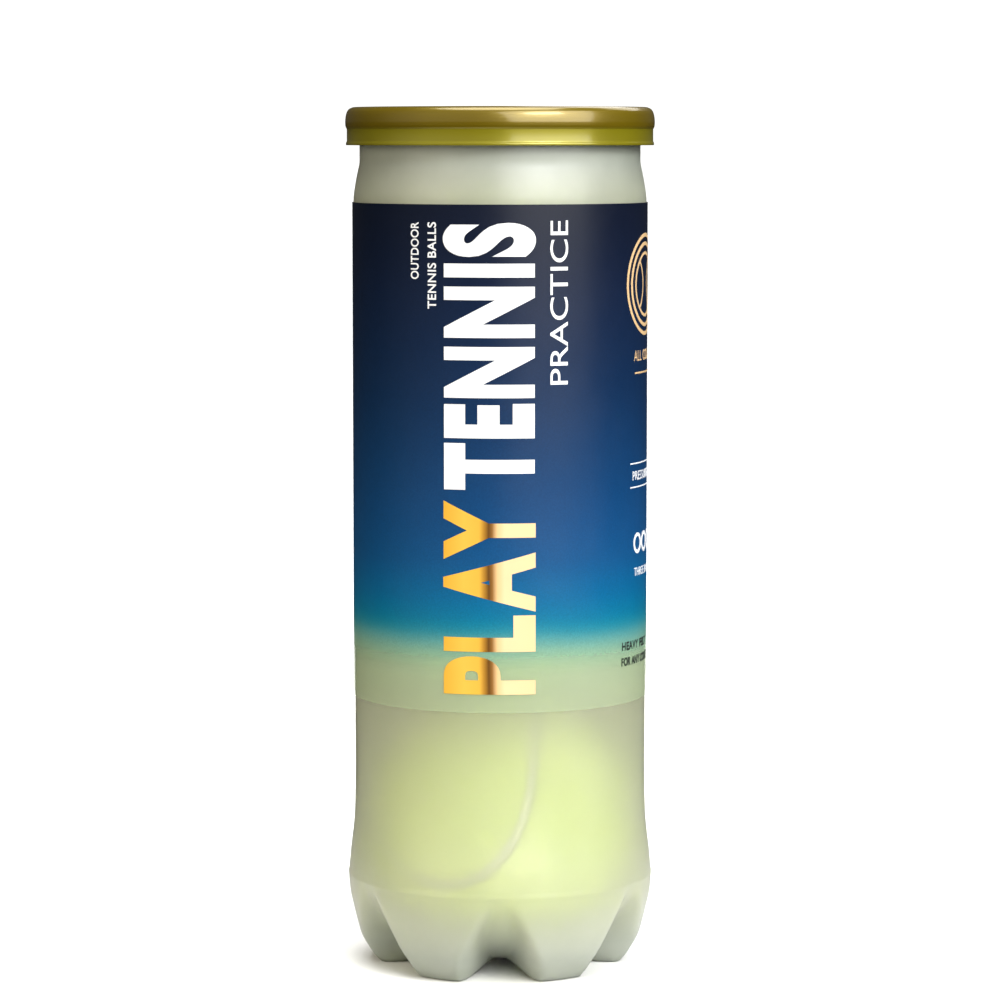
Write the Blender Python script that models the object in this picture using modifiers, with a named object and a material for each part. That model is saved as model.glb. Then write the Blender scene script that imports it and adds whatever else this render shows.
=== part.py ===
"""Tennis ball can: a blow-moulded can on a six-lobed base, with a film sleeve, a seamed tear-off end, a push-on
overcap and three tennis balls inside.

Frame: metres, +Z up, origin on the floor at the can's axis. The valley between two lobes faces -Y, the front.
Every length below is in millimetres and goes through mm().
"""

import math

import bmesh
import bpy
from mathutils import Vector

# Driving dimensions, in millimetres.
HEIGHT = 212.0
OVERCAP_RADIUS = 38.0
OVERCAP_DEPTH = 9.3
NECK_RADIUS = 34.5
BODY_RADIUS = 36.0
BULGE_RADIUS = 37.7
CAN_WALL = 0.6
BALL_RADIUS = 32.9
LABEL_BOTTOM = 67.3
LABEL_TOP = 188.8
LOBES = 6

# Working gaps and sheet thicknesses.
GAP = 0.3
LABEL_GAP = 0.2
LABEL_FILM = 0.25
METAL = 0.4
OVERCAP_WALL = 0.9

# Facets round the axis. 36 puts a vertex on every lobe, every valley and both axes of the frame.
SEGMENTS = 36
SHARP_DEG = 40.0

# The base: the flat pad of a lobe, the hub, and the half-angles of a valley's floor and of its two sides,
# first where the lobes start and then at the pads.
PAD_INNER = 24.5
PAD_OUTER = 29.3
HUB_HEIGHT = 1.2
LOBE_START = 22.6
VALLEY_FLOOR_DEG = (1.5, 6.0)
VALLEY_TOP_DEG = (8.5, 20.0)

# The end, worked out from the top down.
RING_TOP = HEIGHT - 2.1
RING_RADIUS = NECK_RADIUS + 2.2
RING_BOTTOM = HEIGHT - 9.5
FLANGE_TOP = RING_TOP - 1.7
CHUCK_METAL = 0.3
CHUCK_OUTER = NECK_RADIUS - CAN_WALL - 0.25
CHUCK_INNER = CHUCK_OUTER - CHUCK_METAL
LIP_RADIUS = CHUCK_INNER - 0.2
PANEL_RADIUS = LIP_RADIUS - GAP
PANEL_TOP = RING_BOTTOM + 1.3

# The pull tab, which points its nose at the front and its ring at the can's axis.
TAB_BOTTOM = PANEL_TOP + 0.5
TAB_THICKNESS = 1.1
TAB_NOSE_Y = -30.2
TAB_RING_CENTRE_Y = -9.6
TAB_RING_RADIUS = 10.5
TAB_HOLE_RADIUS = 6.8
TAB_NOSE_HALF = 5.4
TAB_HINGE_Y = TAB_NOSE_Y + 0.6
RIVET_Y = -24.0

# The balls. The felt's facets sag towards the core, so the core stands further off than GAP.
BALL_SEAM_GAP = 2.6
SEAM_WIDTH = 1.1
SEAM_STATIONS = 36
FELT_ROWS = 18
FELT_COLUMNS = 4
FELT = 3.0
CORE_RADIUS = BALL_RADIUS - FELT - 0.9
CORE_WALL = 3.3
FIRST_BALL_Z = HUB_HEIGHT + CAN_WALL + GAP + BALL_RADIUS
BALL_PITCH = 2 * BALL_RADIUS + GAP
BALL_NAMES = ("ball_lower", "ball_middle", "ball_upper")
BALL_TURNS_DEG = ((-40.0, -20.0, -23.0), (70.0, 15.0, 40.0), (20.0, 80.0, -35.0))

# The seam of a ball is a curve on a sphere: its wide and narrow shares add up to 1.
SEAM_WIDE = 0.75
SEAM_NARROW = 0.25
SEAM_RISE = 2 * math.sqrt(SEAM_WIDE * SEAM_NARROW)


def mm(value):
    return value * 0.001


# Scene and materials.


def clear_scene():
    for obj in list(bpy.data.objects):
        bpy.data.objects.remove(obj)


def new_collection(name):
    collection = bpy.data.collections.new(name)
    bpy.context.scene.collection.children.link(collection)
    return collection


def new_material(name, colour, roughness, metallic=0.0, alpha=1.0):
    material = bpy.data.materials.new(name)
    material.use_nodes = True
    shader = material.node_tree.nodes["Principled BSDF"]
    shader.inputs["Base Color"].default_value = (*colour, 1.0)
    shader.inputs["Roughness"].default_value = roughness
    shader.inputs["Metallic"].default_value = metallic
    shader.inputs["Alpha"].default_value = alpha
    return material


def new_object(name, data, material, collection):
    obj = bpy.data.objects.new(name, data)
    obj.data.materials.append(material)
    collection.objects.link(obj)
    return obj


# Shapes that repeat.


def turned(name, profile, material, collection, closed=True, steps=SEGMENTS):
    """A turned solid. The profile is (radius, height) points, running down the outer side."""
    points = [(mm(radius), 0.0, mm(height)) for radius, height in profile]
    edges = [(i, i + 1) for i in range(len(points) - 1)]
    if closed:
        edges.append((len(points) - 1, 0))
    mesh = bpy.data.meshes.new(name)
    mesh.from_pydata(points, edges, [])
    obj = new_object(name, mesh, material, collection)
    screw = obj.modifiers.new("turn", "SCREW")
    screw.steps = screw.render_steps = steps
    screw.use_merge_vertices = True
    screw.merge_threshold = mm(0.01)
    screw.use_smooth_shade = True
    return obj


def grid_surface(rows, close_rows=False):
    """A bmesh of quads between rows of points of equal length, in millimetres."""
    sheet = bmesh.new()
    made = [[sheet.verts.new([mm(x) for x in point]) for point in row] for row in rows]
    for upper, lower in zip(made, made[1:]):
        pairs = list(zip(upper, lower))
        if close_rows:
            pairs.append(pairs[0])
        for (a, b), (c, d) in zip(pairs, pairs[1:]):
            sheet.faces.new((a, b, d, c))
    bmesh.ops.remove_doubles(sheet, verts=sheet.verts, dist=mm(0.001))
    return sheet


def face_outwards(sheet, centre):
    """Turns an open surface so that its faces point away from a point inside it."""
    bmesh.ops.recalc_face_normals(sheet, faces=sheet.faces)
    flow = sum(face.calc_area() * face.normal.dot(face.calc_center_median() - centre) for face in sheet.faces)
    if flow < 0:
        bmesh.ops.reverse_faces(sheet, faces=sheet.faces)


def mesh_of(name, sheet):
    mesh = bpy.data.meshes.new(name)
    sheet.to_mesh(mesh)
    sheet.free()
    mesh.shade_smooth()
    mesh.set_sharp_from_angle(angle=math.radians(SHARP_DEG))
    return mesh


def thicken(obj, thickness):
    """Gives an open surface a wall on the side away from its normals."""
    wall = obj.modifiers.new("wall", "SOLIDIFY")
    wall.thickness = mm(thickness)
    wall.offset = -1
    wall.use_even_offset = True


def smoothstep(value):
    share = min(1.0, max(0.0, value))
    return share * share * (3 - 2 * share)


def arc(centre, radius, first, last, count):
    """Points of an arc in a plane, angles in degrees."""
    angles = [math.radians(first + (last - first) * i / (count - 1)) for i in range(count)]
    return [(centre[0] + radius * math.cos(a), centre[1] + radius * math.sin(a)) for a in angles]


# The can.


def can_outline():
    """The can's outer surface from the neck flange down to the hub, as (lobe point, valley point) pairs.

    Above the lobes the two points are the same. Each point is (radius, height).
    """
    flange_under = FLANGE_TOP - CAN_WALL
    round_part = [
        (NECK_RADIUS + 1.4, flange_under),
        (NECK_RADIUS + 0.5, flange_under),
        (NECK_RADIUS, flange_under - 0.5),
        (NECK_RADIUS, 198.0),
        (NECK_RADIUS + 0.7, 195.0),
        (NECK_RADIUS + 1.2, 192.2),
        (BODY_RADIUS, 190.0),
        (BODY_RADIUS, 46.0),
        (BODY_RADIUS + 0.3, 36.0),
        (BULGE_RADIUS - 0.3, 26.0),
    ]
    lobe = [
        (BULGE_RADIUS, 21.5),
        (37.3, 17.2),
        (36.5, 13.7),
        (35.7, 10.4),
        (34.7, 7.0),
        (33.1, 4.1),
        (31.6, 1.9),
        (30.1, 0.3),
        (PAD_OUTER, 0.0),
        (PAD_INNER, 0.0),
        (20.5, 0.7),
        (15.5, 1.4),
        (8.0, 1.5),
        (0.0, HUB_HEIGHT),
    ]
    valley = [
        (BULGE_RADIUS - 0.2, 22.6),
        (36.6, 19.6),
        (35.0, 17.0),
        (33.0, 14.6),
        (30.7, 12.3),
        (28.3, 10.3),
        (25.8, 8.5),
        (23.2, 6.9),
        (20.8, 5.6),
        (17.0, 3.9),
        (13.5, 2.8),
        (10.0, 2.0),
        (5.5, 1.5),
        (0.0, HUB_HEIGHT),
    ]
    return [(point, point) for point in round_part] + list(zip(lobe, valley))


def lobe_share(height, azimuth):
    """1 on a lobe and 0 on a valley's floor. The valleys widen downwards, and one faces -Y."""
    period = 2 * math.pi / LOBES
    from_valley = abs((azimuth + math.pi / 2 + period / 2) % period - period / 2)
    depth = smoothstep(1.0 - height / LOBE_START)
    floor = math.radians(VALLEY_FLOOR_DEG[0] + depth * (VALLEY_FLOOR_DEG[1] - VALLEY_FLOOR_DEG[0]))
    top = math.radians(VALLEY_TOP_DEG[0] + depth * (VALLEY_TOP_DEG[1] - VALLEY_TOP_DEG[0]))
    return smoothstep((from_valley - floor) / (top - floor))


def can_body(material, collection):
    """One wall from the neck flange to the hub, lofted from a circle into six lobes."""
    rows = []
    for lobe, valley in can_outline():
        row = []
        for i in range(SEGMENTS):
            azimuth = 2 * math.pi * i / SEGMENTS
            share = lobe_share(lobe[1], azimuth)
            radius = valley[0] + share * (lobe[0] - valley[0])
            height = valley[1] + share * (lobe[1] - valley[1])
            row.append((radius * math.cos(azimuth), radius * math.sin(azimuth), height))
        rows.append(row)
    sheet = grid_surface(rows, close_rows=True)
    face_outwards(sheet, Vector((0.0, 0.0, mm(HEIGHT / 2))))
    obj = new_object("can_body", mesh_of("can_body", sheet), material, collection)
    thicken(obj, CAN_WALL)
    return obj


def label_sleeve(material, collection):
    inner = BODY_RADIUS + LABEL_GAP
    outer = inner + LABEL_FILM
    profile = [(inner, LABEL_TOP), (outer, LABEL_TOP), (outer, LABEL_BOTTOM), (inner, LABEL_BOTTOM)]
    return turned("label_sleeve", profile, material, collection)


# The end: a ring seamed on the neck, its sealing compound, and the panel that tears out.


def end_ring(material, collection):
    """The seamed-on ring: a hook under the neck flange, the seam over it, and the chuck wall down inside."""
    channel = RING_RADIUS - 0.45
    hook = NECK_RADIUS + 0.6
    hook_top = FLANGE_TOP - CAN_WALL - GAP
    profile = [
        (CHUCK_OUTER + 0.3, RING_TOP),
        (RING_RADIUS - 0.6, RING_TOP),
        (RING_RADIUS - 0.15, RING_TOP - 0.3),
        (RING_RADIUS, RING_TOP - 0.7),
        (RING_RADIUS, hook_top - 0.15),
        (RING_RADIUS - 0.3, hook_top - 0.55),
        (hook, hook_top - 0.55),
        (hook, hook_top),
        (channel, hook_top),
        (channel, RING_TOP - 0.5),
        (CHUCK_OUTER, RING_TOP - 0.5),
        (CHUCK_OUTER, RING_BOTTOM),
        (LIP_RADIUS, RING_BOTTOM),
        (LIP_RADIUS, RING_BOTTOM + METAL),
        (CHUCK_INNER, RING_BOTTOM + METAL),
        (CHUCK_INNER + 0.1, RING_TOP - 0.5),
    ]
    return turned("end_ring", profile, material, collection)


def seam_compound(material, collection):
    """The soft gasket squeezed between the neck flange and the ring."""
    inner = CHUCK_OUTER + 0.35
    outer = NECK_RADIUS + 1.2
    bottom = FLANGE_TOP + 0.25
    top = RING_TOP - 0.5 - GAP
    profile = [(inner, top), (outer, top), (outer, bottom), (inner, bottom)]
    return turned("seam_compound", profile, material, collection)


def tear_panel(material, collection):
    """A stiff disc with a bead round it, inside the score line."""
    edge_top = RING_BOTTOM + METAL
    bead = PANEL_RADIUS - 1.9
    profile = [
        (0.0, PANEL_TOP),
        (PANEL_RADIUS - 4.3, PANEL_TOP),
        (PANEL_RADIUS - 3.4, PANEL_TOP - 0.4),
        (bead, edge_top - 0.5),
        (PANEL_RADIUS - 0.9, edge_top - 0.2),
        (PANEL_RADIUS, edge_top),
        (PANEL_RADIUS, edge_top - METAL),
        (PANEL_RADIUS - 0.9, edge_top - METAL - 0.2),
        (bead, edge_top - METAL - 0.5),
        (PANEL_RADIUS - 3.7, PANEL_TOP - METAL - 0.4),
        (PANEL_RADIUS - 4.5, PANEL_TOP - METAL),
        (0.0, PANEL_TOP - METAL),
    ]
    return turned("tear_panel", profile, material, collection, closed=False)


def tab_rivet(material, collection):
    """The rivet formed up from the panel, with the tab's riveted tongue as its collar."""
    base = PANEL_TOP + GAP
    profile = [
        (0.0, base + 1.4),
        (1.2, base + 1.4),
        (1.7, base + 1.1),
        (1.7, base + 0.7),
        (2.9, base + 0.65),
        (2.9, base + 0.25),
        (1.6, base + 0.2),
        (1.6, base),
        (0.0, base),
    ]
    obj = turned("tab_rivet", profile, material, collection, closed=False, steps=16)
    obj.location.y = mm(RIVET_Y)
    return obj


def flat_outline(curve, points):
    spline = curve.splines.new("POLY")
    spline.points.add(len(points) - 1)
    for point, (x, y) in zip(spline.points, points):
        point.co = (mm(x), mm(y), 0.0, 1.0)
    spline.use_cyclic_u = True


def pull_tab(material, collection):
    """A flat ring on a nose, with its finger hole and the slot that clears the rivet."""
    meet = math.degrees(math.acos((TAB_NOSE_HALF + 0.8) / TAB_RING_RADIUS))
    ring = arc((0.0, TAB_RING_CENTRE_Y), TAB_RING_RADIUS, -meet, 180 + meet, 15)
    nose_left = arc((-TAB_NOSE_HALF + 1.5, TAB_NOSE_Y + 1.5), 1.5, 180, 270, 4)
    nose_right = arc((TAB_NOSE_HALF - 1.5, TAB_NOSE_Y + 1.5), 1.5, 270, 360, 4)
    hole = arc((0.0, TAB_RING_CENTRE_Y), TAB_HOLE_RADIUS, 0, 345, 24)
    slot_half = TAB_NOSE_HALF - 2.0
    slot_top = arc((0.0, RIVET_Y + 0.2), slot_half, 0, 180, 7)
    slot_foot = [(-slot_half, TAB_NOSE_Y + 2.4), (slot_half, TAB_NOSE_Y + 2.4)]

    curve = bpy.data.curves.new("pull_tab", "CURVE")
    curve.dimensions = "2D"
    curve.fill_mode = "BOTH"
    curve.extrude = mm(TAB_THICKNESS) / 2
    flat_outline(curve, ring + nose_left + nose_right)
    flat_outline(curve, hole)
    flat_outline(curve, slot_top + slot_foot)
    obj = new_object("pull_tab", curve, material, collection)
    hinge = bpy.data.objects.new("tab_hinge", None)
    collection.objects.link(hinge)
    hinge.location = (0.0, mm(TAB_HINGE_Y), mm(TAB_BOTTOM + TAB_THICKNESS / 2))
    obj.parent = hinge
    obj.location = (0.0, -mm(TAB_HINGE_Y), 0.0)
    return obj


def overcap(material, collection):
    """A push-on cap: a recessed disc, a bead round the top, and a slightly narrower skirt below it."""
    skirt_bottom = HEIGHT - OVERCAP_DEPTH
    disc_under = RING_TOP + 0.4
    disc_top = disc_under + OVERCAP_WALL
    skirt_inner = RING_RADIUS + 0.25
    bead_bottom = HEIGHT - 5.1
    skirt_outer = OVERCAP_RADIUS - 0.4
    profile = [
        (0.0, disc_top),
        (33.6, disc_top),
        (34.4, HEIGHT - 0.2),
        (35.0, HEIGHT),
        (36.2, HEIGHT),
        (37.2, HEIGHT - 0.5),
        (37.8, HEIGHT - 1.3),
        (OVERCAP_RADIUS, HEIGHT - 2.3),
        (OVERCAP_RADIUS, bead_bottom),
        (skirt_outer, bead_bottom - 0.3),
        (skirt_outer, skirt_bottom + 0.8),
        (skirt_outer + 0.2, skirt_bottom + 0.5),
        (skirt_outer + 0.2, skirt_bottom),
        (skirt_inner, skirt_bottom),
        (skirt_inner, RING_TOP - 0.4),
        (skirt_inner - 0.7, disc_under),
        (0.0, disc_under),
    ]
    return turned("overcap", profile, material, collection, closed=False)


# The balls.


def seam_point(turn):
    """The seam of a ball on a sphere of radius 1, in the axes across, along and up of the first felt panel."""
    across = SEAM_WIDE * math.cos(turn) - SEAM_NARROW * math.cos(3 * turn)
    along = -SEAM_WIDE * math.sin(turn) - SEAM_NARROW * math.sin(3 * turn)
    up = SEAM_RISE * math.cos(2 * turn)
    return Vector((across, along, up))


def seam_side(turn):
    """The unit direction on the sphere from the seam into the first felt panel."""
    step = 0.001
    forward = (seam_point(turn + step) - seam_point(turn - step)).normalized()
    side = forward.cross(seam_point(turn)).normalized()
    return side


def felt_panel(name, flipped, centre, material, collection):
    """A dog-bone of felt: rows run across it between the two sides of the seam.

    The second panel is the first turned over, with its length across the first one's.
    """
    margin = BALL_SEAM_GAP / 2 / BALL_RADIUS
    rows = []
    for i in range(FELT_ROWS + 1):
        turn = -math.pi / 2 + math.pi * i / FELT_ROWS
        edge = (seam_point(turn) + margin * seam_side(turn)).normalized()
        half_width = math.asin(max(0.0, edge.x))
        length_angle = math.atan2(edge.y, edge.z)
        row = []
        for j in range(FELT_COLUMNS + 1):
            width_angle = half_width * (2 * j / FELT_COLUMNS - 1)
            row.append(
                (
                    BALL_RADIUS * math.sin(width_angle),
                    BALL_RADIUS * math.cos(width_angle) * math.sin(length_angle),
                    BALL_RADIUS * math.cos(width_angle) * math.cos(length_angle),
                )
            )
        rows.append(row)
    sheet = grid_surface(rows)
    face_outwards(sheet, Vector((0.0, 0.0, 0.0)))
    obj = new_object(name, mesh_of(name, sheet), material, collection)
    thicken(obj, FELT)
    if flipped:
        obj.rotation_euler = (math.pi, 0.0, math.pi / 2)
    obj.parent = centre
    return obj


def ball_seam(name, centre, material, collection):
    """A square cord of rubber along the seam, sunk a little below the felt."""
    half = SEAM_WIDTH / 2
    outer = BALL_RADIUS - 0.5
    inner = CORE_RADIUS + 0.7
    rows = []
    for i in range(SEAM_STATIONS):
        turn = 2 * math.pi * i / SEAM_STATIONS
        point = seam_point(turn)
        side = seam_side(turn)
        corners = [(outer, -half), (outer, half), (inner, half), (inner, -half)]
        rows.append([point * radius + side * shift for radius, shift in corners])
    rows.append(rows[0])
    sheet = grid_surface(rows, close_rows=True)
    bmesh.ops.recalc_face_normals(sheet, faces=sheet.faces)
    obj = new_object(name, mesh_of(name, sheet), material, collection)
    obj.parent = centre
    return obj


def core_half(name, upper, centre, material, collection):
    """Half of the hollow rubber core, a cup whose rim meets the other half's."""
    gap_angle = math.degrees(GAP / 2 / CORE_RADIUS)
    outer = arc((0.0, 0.0), CORE_RADIUS, 90, gap_angle, 5)
    inner = arc((0.0, 0.0), CORE_RADIUS - CORE_WALL, gap_angle, 90, 5)
    profile = outer + inner
    profile[0] = (0.0, CORE_RADIUS)
    profile[-1] = (0.0, CORE_RADIUS - CORE_WALL)
    obj = turned(name, profile, material, collection, closed=False, steps=16)
    if not upper:
        obj.rotation_euler.x = math.pi
    obj.parent = centre
    return obj


def ball(name, centre_z, turn_degrees, materials, collection):
    """A hollow rubber core in two halves, two panels of felt and the seam between them."""
    centre = bpy.data.objects.new(f"{name}_centre", None)
    centre.location.z = mm(centre_z)
    centre.rotation_euler = [math.radians(angle) for angle in turn_degrees]
    collection.objects.link(centre)
    felt_panel(f"{name}_felt_a", False, centre, materials["felt"], collection)
    felt_panel(f"{name}_felt_b", True, centre, materials["felt"], collection)
    ball_seam(f"{name}_seam", centre, materials["seam_rubber"], collection)
    core_half(f"{name}_core_top", True, centre, materials["core_rubber"], collection)
    core_half(f"{name}_core_bottom", False, centre, materials["core_rubber"], collection)


def main():
    clear_scene()
    collection = new_collection("tennis_ball_can")
    materials = {
        "clear_plastic": new_material("clear_plastic", (0.80, 0.83, 0.78), 0.3, alpha=0.45),
        "printed_film": new_material("printed_film", (0.02, 0.06, 0.16), 0.3),
        "aluminium": new_material("aluminium", (0.80, 0.80, 0.80), 0.25, metallic=1.0),
        "compound": new_material("compound", (0.25, 0.25, 0.24), 0.8),
        "overcap_plastic": new_material("overcap_plastic", (0.38, 0.33, 0.04), 0.3, alpha=0.9),
        "felt": new_material("felt", (0.62, 0.78, 0.10), 1.0),
        "seam_rubber": new_material("seam_rubber", (0.75, 0.75, 0.70), 0.7),
        "core_rubber": new_material("core_rubber", (0.10, 0.10, 0.10), 0.8),
    }
    can_body(materials["clear_plastic"], collection)
    label_sleeve(materials["printed_film"], collection)
    end_ring(materials["aluminium"], collection)
    seam_compound(materials["compound"], collection)
    tear_panel(materials["aluminium"], collection)
    tab_rivet(materials["aluminium"], collection)
    pull_tab(materials["aluminium"], collection)
    overcap(materials["overcap_plastic"], collection)
    for i, (name, turn_degrees) in enumerate(zip(BALL_NAMES, BALL_TURNS_DEG)):
        ball(name, FIRST_BALL_Z + i * BALL_PITCH, turn_degrees, materials, collection)


main()
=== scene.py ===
"""The looks of the tennis ball can: fine surfaces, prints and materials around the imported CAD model.

Every piece is drawn in millimetres in the CAD model's own frame and written in metres: +Z up, -Y the front.
An azimuth is measured from the front, towards +X.
"""

import math

import bmesh
import bpy
import numpy as np
from mathutils import Euler, Matrix, Vector


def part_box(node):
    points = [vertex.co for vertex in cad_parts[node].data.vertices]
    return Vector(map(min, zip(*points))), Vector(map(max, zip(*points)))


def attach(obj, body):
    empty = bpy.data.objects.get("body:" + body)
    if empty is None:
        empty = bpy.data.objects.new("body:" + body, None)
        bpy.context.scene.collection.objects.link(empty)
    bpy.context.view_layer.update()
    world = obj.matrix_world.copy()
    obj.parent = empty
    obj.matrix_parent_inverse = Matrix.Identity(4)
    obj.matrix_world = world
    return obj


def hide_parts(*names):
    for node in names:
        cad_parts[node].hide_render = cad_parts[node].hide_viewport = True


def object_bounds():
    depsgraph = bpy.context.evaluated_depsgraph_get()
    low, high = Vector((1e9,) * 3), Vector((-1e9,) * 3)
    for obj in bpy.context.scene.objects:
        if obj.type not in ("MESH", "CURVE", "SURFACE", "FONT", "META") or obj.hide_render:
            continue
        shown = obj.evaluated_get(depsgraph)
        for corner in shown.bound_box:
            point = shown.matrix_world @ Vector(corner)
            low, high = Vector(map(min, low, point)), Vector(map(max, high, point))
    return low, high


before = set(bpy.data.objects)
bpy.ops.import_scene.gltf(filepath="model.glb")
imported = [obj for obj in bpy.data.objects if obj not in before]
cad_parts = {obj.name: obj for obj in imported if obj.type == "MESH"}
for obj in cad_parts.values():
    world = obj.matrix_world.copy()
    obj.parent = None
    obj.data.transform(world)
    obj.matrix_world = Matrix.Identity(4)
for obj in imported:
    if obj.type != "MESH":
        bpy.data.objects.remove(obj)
cad_low, cad_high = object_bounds()

# Sizes in millimetres, read from the CAD model where a box gives them.
MM = 0.001
HEIGHT = cad_high.z / MM
CAP_RADIUS = cad_high.x / MM
CAP_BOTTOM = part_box("overcap")[0].z / MM
LABEL_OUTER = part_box("label_sleeve")[1].x / MM
LABEL_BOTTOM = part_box("label_sleeve")[0].z / MM
LABEL_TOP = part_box("label_sleeve")[1].z / MM
RING_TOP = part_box("end_ring")[1].z / MM
RING_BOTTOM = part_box("end_ring")[0].z / MM
RING_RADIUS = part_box("end_ring")[1].x / MM
PANEL_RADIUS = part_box("tear_panel")[1].x / MM
PANEL_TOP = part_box("tear_panel")[1].z / MM
FLANGE_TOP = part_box("can_body")[1].z / MM
TAB_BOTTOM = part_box("pull_tab")[0].z / MM
TAB_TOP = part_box("pull_tab")[1].z / MM
NECK_RADIUS = RING_RADIUS - 2.2
BODY_RADIUS = LABEL_OUTER - 0.45
BULGE_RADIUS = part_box("can_body")[1].x / MM
CAN_WALL = 0.6
LOBES = 6
HUB_HEIGHT = 1.2
LOBE_START = 22.6
VALLEY_FLOOR_DEG = (1.5, 6.0)
VALLEY_TOP_DEG = (8.5, 20.0)

# Thin walls, and how far inside the sleeve's largest radius the prints start.
FILM_THICKNESS = 0.1
PRINT_THICKNESS = 0.05
PRINT_INSET = 0.11
PANEL_THICKNESS = 0.3
FELT_THICKNESS = 2.2

# Where the can's wall turns cloudy, and where the overcap's skirt gives way to its bead, as heights.
BASE_CLOUDS = (6.0, 20.0)
NECK_CLOUDS = (186.0, 198.0)
CAP_CHANGE = (HEIGHT - 5.6, HEIGHT - 4.8)

# The front words: the azimuth of their middle, and the foil's colours, a painted reflection, from one azimuth
# to the other.
WORDS_DEG = -4.2
FOIL_PAINTED_REFLECTION_DEG = (-24.0, 22.0)

# How much wider bold letters stand, and how much wider the gap that is named as looser.
BOLD_SPACING = 3.2
LOOSER_KERNING = 7.0

# The balls.
BALL_RADIUS = 32.9
FIRST_BALL_Z = HUB_HEIGHT + CAN_WALL + 0.3 + BALL_RADIUS
BALL_PITCH = 2 * BALL_RADIUS + 0.3
BALLS = (
    ("ball_lower", (-40.0, -20.0, -23.0)),
    ("ball_middle", (70.0, 15.0, 40.0)),
    ("ball_upper", (20.0, 80.0, -35.0)),
)
SEAM_WIDE = 0.75
SEAM_NARROW = 0.25
SEAM_RISE = 2 * math.sqrt(SEAM_WIDE * SEAM_NARROW)
SEAM_GAP = 2.6

# How bright the room is: as the camera sees it, and as it lights the object from its front and from behind.
ROOM_SEEN = 1.1
ROOM_FRONT = 0.36
ROOM_BEHIND = 0.05

# The height that the softboxes point at, in metres, and the tint of the fill on the left.
LIT_HEIGHT = 0.11
WARM = (1.0, 0.88, 0.66)

# How fine the round pieces are.
AROUND = 180


# Materials.


def srgb(red, green, blue, alpha=1.0):
    """A colour as a screen shows it, 0 to 255, as Blender's linear values."""
    linear = []
    for value in (red, green, blue):
        share = value / 255
        linear.append(share / 12.92 if share <= 0.04045 else ((share + 0.055) / 1.055) ** 2.4)
    return (*linear, alpha)


class Look:
    """A material under construction. Its patterns read object coordinates, in metres."""

    def __init__(self, name):
        self.material = bpy.data.materials.new(name)
        self.material.use_nodes = True
        self.tree = self.material.node_tree
        self.shader = self.tree.nodes["Principled BSDF"]
        self.place = self.add("ShaderNodeTexCoord").outputs["Object"]

    def add(self, kind, inputs=None, **settings):
        made = self.tree.nodes.new(kind)
        for name, value in settings.items():
            setattr(made, name, value)
        for name, value in (inputs or {}).items():
            self.put(made.inputs[name], value)
        return made

    def put(self, socket, value):
        if isinstance(value, bpy.types.NodeSocket):
            self.tree.links.new(value, socket)
        else:
            socket.default_value = value

    def set(self, **values):
        """Sets sockets of the shader by name, with _ for a space."""
        for name, value in values.items():
            self.put(self.shader.inputs[name.replace("_", " ")], value)

    def scaled(self, across, along):
        """Object coordinates with their own scales across and along Z."""
        scale = (across, across, along)
        return self.add("ShaderNodeMapping", {"Vector": self.place, "Scale": scale}).outputs[0]

    def noise(self, scale, detail=3.0, rough=0.5, place=None):
        inputs = {"Vector": place or self.place, "Scale": scale, "Detail": detail, "Roughness": rough}
        return self.add("ShaderNodeTexNoise", inputs).outputs["Fac"]

    def between(self, value, low, high, start=0.3, end=0.7):
        """A number that runs from low to high as the value runs from start to end."""
        inputs = {"Value": value, "From Min": start, "From Max": end, "To Min": low, "To Max": high}
        return self.add("ShaderNodeMapRange", inputs).outputs["Result"]

    def ramp(self, value, stops, smooth=False):
        made = self.add("ShaderNodeValToRGB", {"Fac": value})
        made.color_ramp.interpolation = "B_SPLINE" if smooth else "LINEAR"
        while len(made.color_ramp.elements) < len(stops):
            made.color_ramp.elements.new(0.5)
        for element, (position, colour) in zip(made.color_ramp.elements, stops):
            element.position = position
            element.color = colour
        return made.outputs["Color"]

    def math(self, operation, first, second=0.0):
        made = self.add("ShaderNodeMath", operation=operation)
        self.put(made.inputs[0], first)
        self.put(made.inputs[1], second)
        return made.outputs[0]

    def mixed(self, blend, factor, first, second):
        made = self.add("ShaderNodeMix", data_type="RGBA", blend_type=blend)
        self.put(made.inputs["Factor"], factor)
        for name, value in (("A", first), ("B", second)):
            # A Mix node has sockets of one name for each kind of value: the colour's are the ones that show.
            self.put(next(socket for socket in made.inputs if socket.name == name and socket.enabled), value)
        return next(socket for socket in made.outputs if socket.enabled)

    def axes(self):
        split = self.add("ShaderNodeSeparateXYZ", {"Vector": self.place})
        return split.outputs["X"], split.outputs["Y"], split.outputs["Z"]

    def bump(self, height, strength, distance):
        inputs = {"Height": height, "Strength": strength, "Distance": distance}
        self.put(self.shader.inputs["Normal"], self.add("ShaderNodeBump", inputs).outputs["Normal"])


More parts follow.
